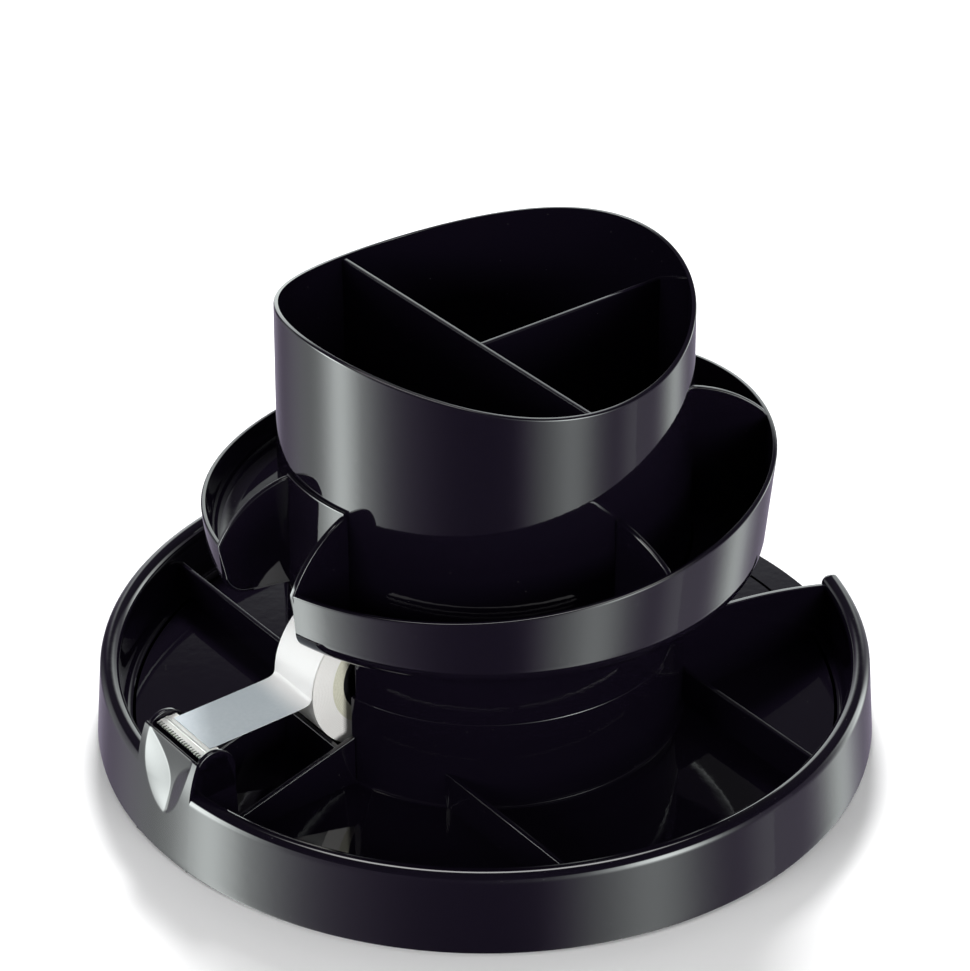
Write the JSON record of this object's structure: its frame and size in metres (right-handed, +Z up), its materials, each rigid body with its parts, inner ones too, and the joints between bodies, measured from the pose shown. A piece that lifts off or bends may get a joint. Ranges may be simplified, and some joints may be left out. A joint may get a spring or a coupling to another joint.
{
  "type": "rotary desk organizer",
  "caption": "Round black desk organizer that turns on a ball-bearing foot: compartment tray with tape dispenser and note pocket, smaller wavy-rimmed tray above, divided pen cup on top.",
  "frame": {"origin": "centre of the foot on the desk, on the turning axis", "axes": "+Z up along the turning axis, -Y to the front, +X to the right; the tape cutter points to azimuth 217.5 degrees from +X"},
  "size_m": [0.2398, 0.2398, 0.1496],
  "materials": {
    "black_plastic": "high gloss moulded polystyrene",
    "black_plastic_satin": "satin moulded",
    "rubber": "matt",
    "steel": "zinc plated",
    "steel_polished": "polished",
    "blade_steel": "bright stamped",
    "nylon": "natural nylon",
    "tape": "translucent frosted film",
    "core": "satin beige"
  },
  "bodies": {
    "foot": {"foot_plate": "black_plastic_satin", "rubber_feet": "rubber", "race_lower": "steel"},
    "ball_ring": {"ball_cage": "nylon", "bearing_balls": "steel_polished"},
    "carousel": {"race_upper": "steel", "lower_tray": "black_plastic", "pivot_washer": "steel", "pivot_screw": "steel", "middle_tray": "black_plastic", "column_screws": "steel", "pen_cup": "black_plastic", "cup_divider": "black_plastic", "cup_screws": "steel", "cutter_blade": "blade_steel", "tape_strip": "tape", "spindle_axle": "steel"},
    "tape": {"spindle_wheel": "black_plastic_satin", "tape_core": "core", "tape_roll": "tape"}
  },
  "joints": [
    {"name": "carousel_spin", "type": "hinge", "parent": "foot", "child": "carousel", "pos_m": [0, 0, 0.0068], "axis": [0, 0, 1], "continuous": true},
    {"name": "ball_ring_spin", "type": "hinge", "parent": "foot", "child": "ball_ring", "pos_m": [0, 0, 0.0068], "axis": [0, 0, 1], "continuous": true},
    {"name": "tape_spin", "type": "hinge", "parent": "carousel", "child": "tape", "pos_m": [-0.03729, -0.02861, 0.0385], "axis": [0.6088, -0.7934, 0], "continuous": true}
  ],
  "couplings": [
    {"joint": "ball_ring_spin", "follows": "carousel_spin", "ratio": 0.5}
  ]
}
